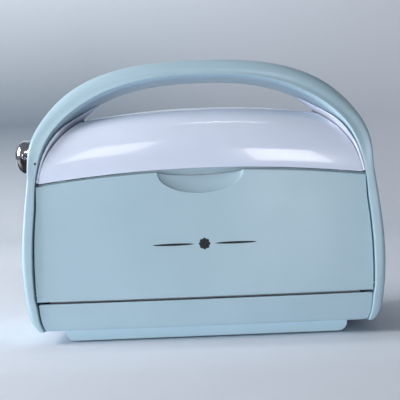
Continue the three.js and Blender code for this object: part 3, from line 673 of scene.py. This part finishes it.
# ---------------------------------------------------------------- base band
BAND_FRONT_STEPS = 26
BAND_RISE_STEPS = 16
BAND_ROUND_STEPS = 5
BAND_FOOT_TUCK = (0.8 * MM, 1.2 * MM)  # how far the lowest ring is drawn in, at the ends and at the faces


def band_ring(half_width, undercut, z):
    """The band's outline in plan at a height: bulging front and rear, softly rounded corners."""
    reach = half_width - BAND_CORNER
    half = []
    for k in range(BAND_FRONT_STEPS + 1):
        x = mix(-reach, reach, k / BAND_FRONT_STEPS)
        half.append((x, -(FACE_DEPTH - bulge(x) - undercut), z))
    front = half[-1][1]
    for k in range(1, BAND_ROUND_STEPS + 1):
        angle = math.pi / 2 * k / BAND_ROUND_STEPS
        half.append((reach + BAND_CORNER * math.sin(angle), front + BAND_CORNER * (1 - math.cos(angle)), z))
    return half + [(-x, -y, z) for x, y, z in half]


def base_band():
    """The tray's outer band: undercut at its foot, rounded at its top, and hollow inside."""
    rings = []
    for k in range(BAND_RISE_STEPS + 1):
        share = k / BAND_RISE_STEPS
        end_tuck, face_tuck = BAND_FOOT_TUCK if k == 0 else (0, 0)
        narrow = smooth_table(BAND_CURVE, share)
        under = BAND_UNDERCUT * (1 - smoothstep(share * 1.6))
        z = mix(BAND_BOTTOM, BAND_TOP - BAND_LIP, share)
        rings.append(band_ring(BAND_HALF - narrow - end_tuck, under + face_tuck, z))
    for k in range(1, BAND_ROUND_STEPS + 1):
        angle = math.pi / 2 * k / BAND_ROUND_STEPS
        inset = BAND_LIP * (1 - math.cos(angle))
        rings.append(band_ring(BAND_HALF - inset, inset, BAND_TOP - BAND_LIP + BAND_LIP * math.sin(angle)))
    inside = [(WALL, BAND_TOP), (WALL + 0.1 * MM, BAND_TOP - BAND_LIP),
              (WALL + 3 * MM, BAND_FLOOR + 2 * MM), (WALL + 5 * MM, BAND_FLOOR)]
    for inset, z in inside:
        rings.append(band_ring(BAND_HALF - inset, inset, z))
    place_mesh("base_band", ring_loft(rings), "mint_shell", "root", ["base_tray"], sharp=48)


base_band()


# ---------------------------------------------------------------- crank hub and knob
CRANK_Z = (hub_low.z + hub_high.z) / 2
HUB_RADIUS = (hub_high.z - hub_low.z) / 2
HUB_DOME = 9.5 * MM
HUB_DOME_STEPS = 15
HUB_DOME_POWER = 0.9
HUB_GROOVE = 0.7 * MM
SCREW_RADIUS = 2.4 * MM
COLLAR_INNER, COLLAR_OUTER = 2.2 * MM, 3.1 * MM
KNOB_STEPS = 31
KNOB_BORE = 3.4 * MM
KNOB_ROUND = 3.4 * MM
KNOB_TAPER, KNOB_WAIST = 1.9 * MM, 0.6 * MM
KNOB_GROOVE, KNOB_GROOVES = 0.5 * MM, (22, 24, 26)  # depth of the rings, and the steps they stand at


def hub_profile():
    """Soft inner rim, straight barrel, a turned groove and a rounded outer end."""
    tip, inner = hub_low.x, hub_high.x
    shoulder = tip + HUB_DOME
    groove_floor = HUB_RADIUS - HUB_GROOVE
    profile = [(inner, 0.4 * MM), (inner, HUB_RADIUS - 1.6 * MM), (inner - 0.5 * MM, HUB_RADIUS - 0.5 * MM),
               (inner - 1.6 * MM, HUB_RADIUS), (shoulder + 5.2 * MM, HUB_RADIUS),
               (shoulder + 4.8 * MM, groove_floor), (shoulder + 3.9 * MM, groove_floor),
               (shoulder + 3.5 * MM, HUB_RADIUS)]
    for k in range(HUB_DOME_STEPS):
        angle = math.pi / 2 * k / HUB_DOME_STEPS
        radius = HUB_RADIUS * math.cos(angle) ** HUB_DOME_POWER
        profile.append((shoulder - HUB_DOME * math.sin(angle), radius))
    profile.append((tip, 0.3 * MM))
    return profile


def crank_hub():
    bm = lathe(hub_profile(), Vector((0, 0, CRANK_Z)), Matrix.Identity(3), 96)
    place_mesh("crank_hub_dome", bm, "chrome", "crank", ["crank_hub"], sharp=40)


def set_screw():
    """Screw with a round socket in the hub's front, and the thin raised collar round it."""
    low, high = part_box("crank_set_screw")
    place = Vector(((low.x + high.x) / 2, 0, CRANK_Z))
    turn = Matrix.Rotation(math.radians(-90), 3, "Z")
    ring = [(-2.4, COLLAR_INNER), (-2.4, COLLAR_OUTER), (0.15, COLLAR_OUTER), (0.35, 2.85 * MM),
            (0.3, 2.45 * MM), (-0.1, COLLAR_INNER)]
    collar = [(HUB_RADIUS + out * MM, radius) for out, radius in ring + ring[:1]]
    place_mesh("set_screw_collar", lathe(collar, place, turn, 40), "chrome", "crank", sharp=60)
    head = [(-3, 0.2 * MM), (-3, SCREW_RADIUS), (0.05, SCREW_RADIUS), (0.05, 1.3 * MM),
            (-1.4, 1.2 * MM), (-1.5, 0.2 * MM)]
    screw = [(HUB_RADIUS + out * MM, radius) for out, radius in head]
    place_mesh("set_screw_head", lathe(screw, place, turn, 36), "dark_plastic", "crank",
               ["crank_set_screw"], sharp=40)


def knob_grip():
    """A soft, slightly waisted grip with three shallow rings near its end."""
    low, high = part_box("knob_grip")
    x, z = (low.x + high.x) / 2, (low.z + high.z) / 2
    radius = (high.x - low.x) / 2
    length = high.y - low.y
    profile = [(high.y, KNOB_BORE), (high.y, radius - KNOB_ROUND)]
    for k in range(1, KNOB_STEPS):
        share = k / KNOB_STEPS
        soft = math.sin(math.pi / 2 * min(share / 0.08, 1)) ** 0.5
        end = math.sin(math.pi / 2 * min((1 - share) / 0.12, 1)) ** 0.5
        groove = KNOB_GROOVE if k in KNOB_GROOVES else 0
        shape = radius - KNOB_TAPER * (1 - share) - KNOB_WAIST * math.sin(math.pi * share) - groove
        profile.append((high.y - length * share, shape * soft * (0.72 + 0.28 * end)))
    profile += [(low.y, radius * 0.62), (low.y, KNOB_BORE)]
    turn = Matrix.Rotation(math.radians(90), 3, "Z")
    bm = lathe(profile, Vector((x, 0, z)), turn, 48)
    place_mesh("knob_grip_soft", bm, "dark_plastic", "knob", ["knob_grip"], sharp=60)


crank_hub()
set_screw()
knob_grip()


# ---------------------------------------------------------------- small details
MARK_HEIGHT = 46.5 * MM
MARK_X = 1.5 * MM
MARK_LIFT, MARK_ROOT = 0.05 * MM, 0.2 * MM
ROSETTE_LOBES, ROSETTE_RADIUS, ROSETTE_STEPS = 8, 5.2 * MM, 96
RULE_START, RULE_END, RULE_THICK, RULE_STEPS = 9 * MM, 47 * MM, 1.05 * MM, 12
PIP_BELOW_CRANK = 8 * MM
PIP_ACROSS = 0.3  # share of the leg's width, from its inner edge


def prism_on_face(bm, outline):
    """Adds a thin printed shape that follows the front panel's face."""
    rows = []
    for depth in (-MARK_LIFT, MARK_ROOT):
        row = []
        for u, v in outline:
            x, z = MARK_X + u, PANEL_BOTTOM + MARK_HEIGHT + v
            row.append(bm.verts.new((x, -face_y(x, z) + depth, z)))
        rows.append(row)
    front, back = rows
    count = len(outline)
    for k in range(count):
        j = (k + 1) % count
        bm.faces.new((front[k], front[j], back[j], back[k]))
    bm.faces.new(front)
    bm.faces.new(list(reversed(back)))


def face_mark():
    """A plain printed ornament in the middle of the front panel: a rosette between two tapering rules."""
    bm = bmesh.new()
    rosette = []
    for k in range(ROSETTE_STEPS):
        angle = 2 * math.pi * k / ROSETTE_STEPS
        radius = ROSETTE_RADIUS * (0.82 + 0.18 * abs(math.cos(ROSETTE_LOBES * angle / 2)))
        rosette.append((radius * math.cos(angle), radius * math.sin(angle)))
    prism_on_face(bm, rosette)
    for side in (-1, 1):
        rule = []
        for k in range(RULE_STEPS + 1):
            share = k / RULE_STEPS
            thick = RULE_THICK * math.sin(math.pi * share) ** 0.5
            rule.append((side * mix(RULE_START, RULE_END, share), thick))
        rule += [(u, -v) for u, v in reversed(rule[1:-1])]
        prism_on_face(bm, rule)
    place_mesh("front_mark", bm, "ink", "front_platform", sharp=60)


def moulding_pip():
    """The small blind hole in the front of the left leg, beside the hub: a shallow dished plug whose dark
    plastic is painted shade for the hole's depth.
    """
    z = CRANK_Z - PIP_BELOW_CRANK
    x = -mix(arch_half_width(INNER, z), arch_half_width(OUTER, z), PIP_ACROSS)
    face = half_depth(z)
    turn = Matrix.Rotation(math.radians(-90), 3, "Z")
    profile = [(face - 2 * MM, 0.1 * MM), (face - 2 * MM, 1.0 * MM), (face + 0.05 * MM, 1.0 * MM),
               (face + 0.02 * MM, 0.6 * MM), (face - 0.6 * MM, 0.1 * MM)]
    # painted shade: the dark plastic stands in for the shade inside the hole
    place_mesh("leg_hole_painted_shade", lathe(profile, Vector((x, 0, z)), turn, 24), "dark_plastic", "root", sharp=60)


face_mark()
moulding_pip()


# ---------------------------------------------------------------- CAD nodes that stay
def clean_cad(name, look, width):
    """Better surface, soft edges and smooth normals on a CAD node that stays."""
    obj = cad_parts[name]
    for entry in obj.material_slots:
        entry.link = "OBJECT"
        entry.material = looks[look]
    weld = obj.modifiers.new("weld", "WELD")
    weld.merge_threshold = 0.02 * MM
    flat = obj.modifiers.new("flat", "DECIMATE")
    flat.decimate_type = "DISSOLVE"
    flat.angle_limit = math.radians(0.6)
    round_edges(obj, width, 2, 32)


FACES = ("front", "rear")
SIDES = ("left", "right")
CORNERS = [face + "_" + side for face in FACES for side in SIDES]

# Look: (node names, width of their soft edges)
KEPT = {
    # the plinth takes the lightened mint, whose extra brightness is painted bounce light from the floor
    "mint_plinth_painted_bounce": (["base_plinth"], 0.7 * MM),
    "inner_plastic": ([face + "_platform_tray" for face in FACES] + [face + "_fascia" for face in FACES]
                      + [face + "_feed_guide" for face in FACES], 0.5 * MM),
    "steel": ([side + "_side_plate" for side in SIDES]
              + ["tie_rod_" + place for place in ("front", "rear", "top")]
              + ["gear_plate", "upper_roller", "lower_roller", "idler_shaft", "crank_shaft", "suction_stem",
                 "knob_pivot_pin", "knob_spindle"]
              + ["base_screw_" + corner for corner in CORNERS]
              + ["hinge_pin_" + corner for corner in CORNERS], 0.3 * MM),
    "chrome": (["crank_arm"], 0.6 * MM),
    "brass": (["upper_bush_" + side for side in SIDES] + ["lower_bush_" + side for side in SIDES]
              + ["crank_bush_inner", "crank_bush_outer"], 0.3 * MM),
    "gear_steel": (["upper_roller_gear", "lower_roller_gear", "idler_gear", "crank_pinion"], 0.15 * MM),
    "rubber": (["suction_cup"] + ["foot_" + corner for corner in CORNERS], 0.6 * MM),
    "dark_plastic": (["knob_cap"], 0.3 * MM),
}
for kept_look, (kept_names, kept_width) in KEPT.items():
    for kept_name in kept_names:
        clean_cad(kept_name, kept_look, kept_width)


# ---------------------------------------------------------------- floor, backdrop, light and camera
# The sweep's colours hold painted light and shade: an evenly pale floor, painted shade low on the wall
# towards the left and middle, and painted window light that brightens the wall towards its top and left.
SWEEP_FLOOR = linear(226, 232, 242)
SWEEP_PAINTED_SHADE = linear(130, 142, 153)
SWEEP_RIGHT = linear(218, 223, 232)
SWEEP_TOP_LEFT = linear(232, 240, 248)
SWEEP_TOP_RIGHT = linear(228, 233, 242)
WALL_DARK_Z, WALL_LIGHT_Z = 0.31, 0.86
WALL_LEFT_X, WALL_RIGHT_X = -0.35, 0.85
SWEEP_FRONT, SWEEP_BACK, SWEEP_SIDE = 3.0, 1.7, 4.0
SWEEP_CURVE, SWEEP_HEIGHT = 0.6, 3.0
SWEEP_CURVE_STEPS = 16

CARD_FRONT, CARD_LEFT, CARD_RIGHT = -1.6, -2.2, 1.2
CARD_NEAR_FRONT, CARD_NEAR_LEFT, CARD_REAR = -0.17, -0.18, 0.5  # the card stays clear of the machine
CARD_LIFT = 1 * MM

ROOM_LEFT, ROOM_RIGHT = linear(232, 238, 248), linear(70, 78, 90)
WORLD_STRENGTH = 0.26
WINDOW_TINT = (0.98, 0.99, 1.0)
PANE_AIM = (0, -0.05, 0.165)
# Name: (place, size, watts)
PANES = {
    "left_pane": ((-0.35, -1.13, 1.08), (0.3, 0.5), 1.6),
    "right_pane": ((0.29, -1.4, 0.6), (0.26, 0.5), 2.4),
}

CAMERA_PLACE = (0.0033, -0.75, 0.1505)
CAMERA_YAW, CAMERA_PITCH, CAMERA_ROLL = 0.365, 2.26, -2.33  # degrees; the pitch looks down
CAMERA_LENS, CAMERA_SENSOR = 68.8, 36


def stage_mesh(name, bm, material):
    """Turns bm into a piece of the stage, which is no part of the machine."""
    mesh = bpy.data.meshes.new(name)
    bm.to_mesh(mesh)
    bm.free()
    mesh.materials.append(material)
    obj = bpy.data.objects.new(name, mesh)
    scene.collection.objects.link(obj)
    return obj


def sweep_look():
    """Pale paper with painted window light and shade: its tone falls from a painted bright upper left to a
    painted darker middle.
    """
    n = Nodes("sweep_look")
    split = n.new("ShaderNodeSeparateXYZ")
    n.link(n.place, split.inputs["Vector"])
    height = n.span(split.outputs["Z"], 0.0, 1.0, WALL_DARK_Z, WALL_LIGHT_Z)
    side = n.span(split.outputs["X"], 1.0, 0.0, WALL_LEFT_X, WALL_RIGHT_X)
    paper = n.ramp(n.noise(1.6, 3.0), shade(SWEEP_FLOOR, 0.985), shade(SWEEP_FLOOR, 1.015))
    wall_top = n.blend(side, SWEEP_TOP_RIGHT, SWEEP_TOP_LEFT)
    # painted shade low on the wall, blended up into painted light at its top
    wall = n.blend(height, n.blend(side, SWEEP_RIGHT, SWEEP_PAINTED_SHADE), wall_top)
    rise = n.span(split.outputs["Z"], 0.0, 1.0, 0.005, WALL_DARK_Z)
    n.color(n.blend(rise, paper, wall))
    n.roughness(n.span(n.noise(30.0), 0.62, 0.75))
    return n.material


def studio_floor():
    """Pale sweep: a plain floor that curves up into a plain backdrop."""
    bm = bmesh.new()
    profile = [(-SWEEP_FRONT, 0.0), (0.0, 0.0), (SWEEP_BACK - SWEEP_CURVE, 0.0)]
    for k in range(1, SWEEP_CURVE_STEPS + 1):
        angle = math.pi / 2 * k / SWEEP_CURVE_STEPS
        back = SWEEP_BACK - SWEEP_CURVE * (1 - math.sin(angle))
        profile.append((back, SWEEP_CURVE * (1 - math.cos(angle))))
    profile += [(SWEEP_BACK, SWEEP_HEIGHT / 2), (SWEEP_BACK, SWEEP_HEIGHT)]
    rows = [[bm.verts.new((x, y, z)) for x in (-SWEEP_SIDE, SWEEP_SIDE)] for y, z in profile]
    for a, b in zip(rows, rows[1:]):
        bm.faces.new((a[0], a[1], b[1], b[0]))
    for face in bm.faces:
        face.smooth = True
    stage_mesh("studio_sweep", bm, sweep_look())


def dark_card():
    """Black card on the floor in front of the machine and left of it, seen only in polished surfaces."""
    bm = bmesh.new()
    plan = [(CARD_LEFT, CARD_FRONT), (CARD_RIGHT, CARD_FRONT), (CARD_RIGHT, CARD_NEAR_FRONT),
            (CARD_NEAR_LEFT, CARD_NEAR_FRONT), (CARD_NEAR_LEFT, CARD_REAR), (CARD_LEFT, CARD_REAR)]
    bm.faces.new([bm.verts.new((x, y, CARD_LIFT)) for x, y in plan])
    n = Nodes("card_look")
    n.color(n.ramp(n.noise(3.0), (0.004, 0.004, 0.005, 1), (0.01, 0.01, 0.012, 1)))
    card = stage_mesh("dark_card", bm, n.material)
    card.visible_camera = False
    card.visible_shadow = False
    card.visible_diffuse = False


def soft_light(name, place, aim, size, power, color=(1, 1, 1)):
    """A rectangular lamp that points from its place at its aim."""
    light = bpy.data.lights.new(name, "AREA")
    light.shape = "RECTANGLE"
    light.size, light.size_y = size
    light.energy = power
    light.color = color
    obj = bpy.data.objects.new(name, light)
    obj.location = place
    obj.rotation_euler = (Vector(aim) - Vector(place)).to_track_quat("-Z", "Y").to_euler()
    scene.collection.objects.link(obj)
    return obj


def directional_world():
    """Pale room, bright on the left and dim on the right, the same at every height."""
    world = bpy.data.worlds.new("studio")
    scene.world = world
    world.use_nodes = True
    tree = world.node_tree
    background = tree.nodes["Background"]
    place = tree.nodes.new("ShaderNodeTexCoord")
    split = tree.nodes.new("ShaderNodeSeparateXYZ")
    tree.links.new(place.outputs["Generated"], split.inputs["Vector"])
    ramp = tree.nodes.new("ShaderNodeValToRGB")
    span = tree.nodes.new("ShaderNodeMapRange")
    span.inputs["From Min"].default_value = -1
    span.inputs["From Max"].default_value = 1
    tree.links.new(split.outputs["X"], span.inputs["Value"])
    tree.links.new(span.outputs["Result"], ramp.inputs["Fac"])
    ramp.color_ramp.elements[0].color = ROOM_LEFT
    ramp.color_ramp.elements[1].color = ROOM_RIGHT
    tree.links.new(ramp.outputs["Color"], background.inputs["Color"])
    background.inputs["Strength"].default_value = WORLD_STRENGTH


def studio_lights():
    """Window on the left, dim fills, and a tube and two panes that draw the cover's reflections."""
    soft_light("window", (-1.6, -0.15, 0.85), (0, 0, 0.12), (0.9, 0.9), 34, WINDOW_TINT)
    fill = soft_light("front_fill", (-0.6, -1.8, 0.14), (0, 0, 0.08), (1.4, 0.3), 16)
    fill.visible_glossy = False
    wash = soft_light("backdrop_wash", (-0.3, 0.5, 1.9), (-0.3, 1.7, 0.55), (1.8, 0.3), 7)
    wash.visible_glossy = False
    tube = soft_light("tube", (0.1, -0.02, 1.6), (0, 0, 0), (0.36, 0.012), 0.35)
    tube.rotation_euler.z = math.radians(4)
    for name, (place, size, power) in PANES.items():
        pane = soft_light(name, place, PANE_AIM, size, power)
        pane.visible_diffuse = False


def front_camera():
    """Camera level with the cover's seam, in front of the machine."""
    camera = bpy.data.cameras.new("camera")
    camera.sensor_width = CAMERA_SENSOR
    camera.lens = CAMERA_LENS
    obj = bpy.data.objects.new("camera", camera)
    obj.location = CAMERA_PLACE
    yaw, pitch, roll = (math.radians(angle) for angle in (CAMERA_YAW, CAMERA_PITCH, CAMERA_ROLL))
    turn = (Matrix.Rotation(yaw, 4, "Z") @ Matrix.Rotation(math.pi / 2 - pitch, 4, "X")
            @ Matrix.Rotation(roll, 4, "Z"))
    obj.rotation_euler = turn.to_euler()
    scene.collection.objects.link(obj)
    scene.camera = obj


studio_floor()
dark_card()
directional_world()
studio_lights()
front_camera()
scene.view_settings.view_transform = "Standard"
